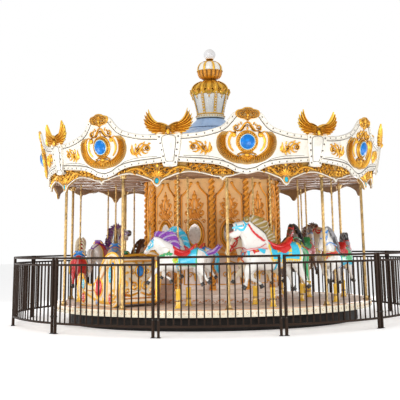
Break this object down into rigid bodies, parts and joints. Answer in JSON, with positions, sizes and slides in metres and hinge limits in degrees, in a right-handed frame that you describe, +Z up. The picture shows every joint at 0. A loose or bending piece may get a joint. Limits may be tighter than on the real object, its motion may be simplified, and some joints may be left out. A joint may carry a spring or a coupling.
{
  "type": "fairground carousel",
  "caption": "Roofed fairground carousel: turning platform with galloping horses on poles, a carriage, ornate rounding boards, a crown and a ring fence.",
  "frame": {"origin": "on the ground at the middle of the turning axis", "axes": "+Z up along the turning axis; -Y towards the side from which the object is seen; +X to the right of that view"},
  "size_m": [7.2204, 7.2204, 5.05],
  "materials": {
    "plinth_dark": "matt black paint on sheet steel",
    "drum_gold": "antique gold lacquer on moulded panels",
    "deck_tan": "tan non-slip paint on steel deck",
    "band_cream": "cream gloss",
    "frame_brass": "brass-coloured polished tube",
    "ceiling_brown": "brown-grey satin paint",
    "roof_blue": "pale blue gloss",
    "crown_white": "white gloss with gold lines",
    "board_gold": "gold lacquer relief with ivory borders",
    "valance_gold": "gold relief with a cream edge",
    "fence_black": "very dark brown satin paint",
    "horse_white": "painted gloss fibreglass",
    "carriage_cream": "painted gloss fibreglass"
  },
  "bodies": {
    "base": {"base_plinth": "plinth_dark", "center_drum": "drum_gold", "fence_panel_01": "fence_black", "fence_panel_02": "fence_black", "fence_panel_03": "fence_black", "fence_panel_04": "fence_black", "fence_panel_05": "fence_black", "fence_panel_06": "fence_black", "fence_panel_07": "fence_black", "fence_panel_08": "fence_black", "fence_panel_09": "fence_black", "fence_panel_10": "fence_black", "fence_panel_11": "fence_black", "fence_panel_12": "fence_black"},
    "turntable": {"platform": "deck_tan", "platform_band": "band_cream", "canopy_frame": "frame_brass", "ceiling": "ceiling_brown", "roof": "roof_blue", "crown": "crown_white", "valance": "valance_gold", "carriage": "carriage_cream", "rounding_board_01": "board_gold", "rounding_board_02": "board_gold", "rounding_board_03": "board_gold", "rounding_board_04": "board_gold", "rounding_board_05": "board_gold", "rounding_board_06": "board_gold", "rounding_board_07": "board_gold", "rounding_board_08": "board_gold"},
    "horse_outer_01": {"horse_outer_01": "horse_white"},
    "horse_outer_02": {"horse_outer_02": "horse_white"},
    "horse_outer_03": {"horse_outer_03": "horse_white"},
    "horse_outer_04": {"horse_outer_04": "horse_white"},
    "horse_outer_05": {"horse_outer_05": "horse_white"},
    "horse_outer_06": {"horse_outer_06": "horse_white"},
    "horse_outer_07": {"horse_outer_07": "horse_white"},
    "horse_outer_08": {"horse_outer_08": "horse_white"},
    "horse_outer_09": {"horse_outer_09": "horse_white"},
    "horse_inner_01": {"horse_inner_01": "horse_white"},
    "horse_inner_02": {"horse_inner_02": "horse_white"},
    "horse_inner_03": {"horse_inner_03": "horse_white"},
    "horse_inner_04": {"horse_inner_04": "horse_white"},
    "horse_inner_05": {"horse_inner_05": "horse_white"},
    "horse_inner_06": {"horse_inner_06": "horse_white"},
    "horse_inner_07": {"horse_inner_07": "horse_white"},
    "horse_inner_08": {"horse_inner_08": "horse_white"},
    "horse_inner_09": {"horse_inner_09": "horse_white"}
  },
  "joints": [
    {"name": "turntable_spin", "type": "hinge", "parent": "base", "child": "turntable", "pos_m": [0, 0, 0.25], "axis": [0, 0, 1], "continuous": true},
    {"name": "horse_outer_01_gallop", "type": "slide", "parent": "turntable", "child": "horse_outer_01", "axis": [0, 0, 1], "range_m": [-0.15, 0.15]},
    {"name": "horse_outer_02_gallop", "type": "slide", "parent": "turntable", "child": "horse_outer_02", "axis": [0, 0, 1], "range_m": [-0.21, 0.09]},
    {"name": "horse_outer_03_gallop", "type": "slide", "parent": "turntable", "child": "horse_outer_03", "axis": [0, 0, 1], "range_m": [-0.13, 0.17]},
    {"name": "horse_outer_04_gallop", "type": "slide", "parent": "turntable", "child": "horse_outer_04", "axis": [0, 0, 1], "range_m": [-0.09, 0.21]},
    {"name": "horse_outer_05_gallop", "type": "slide", "parent": "turntable", "child": "horse_outer_05", "axis": [0, 0, 1], "range_m": [-0.23, 0.07]},
    {"name": "horse_outer_06_gallop", "type": "slide", "parent": "turntable", "child": "horse_outer_06", "axis": [0, 0, 1], "range_m": [-0.06, 0.24]},
    {"name": "horse_outer_07_gallop", "type": "slide", "parent": "turntable", "child": "horse_outer_07", "axis": [0, 0, 1], "range_m": [-0.18, 0.12]},
    {"name": "horse_outer_08_gallop", "type": "slide", "parent": "turntable", "child": "horse_outer_08", "axis": [0, 0, 1], "range_m": [-0.24, 0.06]},
    {"name": "horse_outer_09_gallop", "type": "slide", "parent": "turntable", "child": "horse_outer_09", "axis": [0, 0, 1], "range_m": [-0.05, 0.25]},
    {"name": "horse_inner_01_gallop", "type": "slide", "parent": "turntable", "child": "horse_inner_01", "axis": [0, 0, 1], "range_m": [-0.17, 0.13]},
    {"name": "horse_inner_02_gallop", "type": "slide", "parent": "turntable", "child": "horse_inner_02", "axis": [0, 0, 1], "range_m": [-0.09, 0.21]},
    {"name": "horse_inner_03_gallop", "type": "slide", "parent": "turntable", "child": "horse_inner_03", "axis": [0, 0, 1], "range_m": [-0.25, 0.05]},
    {"name": "horse_inner_04_gallop", "type": "slide", "parent": "turntable", "child": "horse_inner_04", "axis": [0, 0, 1], "range_m": [-0.17, 0.13]},
    {"name": "horse_inner_05_gallop", "type": "slide", "parent": "turntable", "child": "horse_inner_05", "axis": [0, 0, 1], "range_m": [-0.07, 0.23]},
    {"name": "horse_inner_06_gallop", "type": "slide", "parent": "turntable", "child": "horse_inner_06", "axis": [0, 0, 1], "range_m": [-0.2, 0.1]},
    {"name": "horse_inner_07_gallop", "type": "slide", "parent": "turntable", "child": "horse_inner_07", "axis": [0, 0, 1], "range_m": [-0.12, 0.18]},
    {"name": "horse_inner_08_gallop", "type": "slide", "parent": "turntable", "child": "horse_inner_08", "axis": [0, 0, 1], "range_m": [-0.05, 0.25]},
    {"name": "horse_inner_09_gallop", "type": "slide", "parent": "turntable", "child": "horse_inner_09", "axis": [0, 0, 1], "range_m": [-0.19, 0.11]}
  ]
}
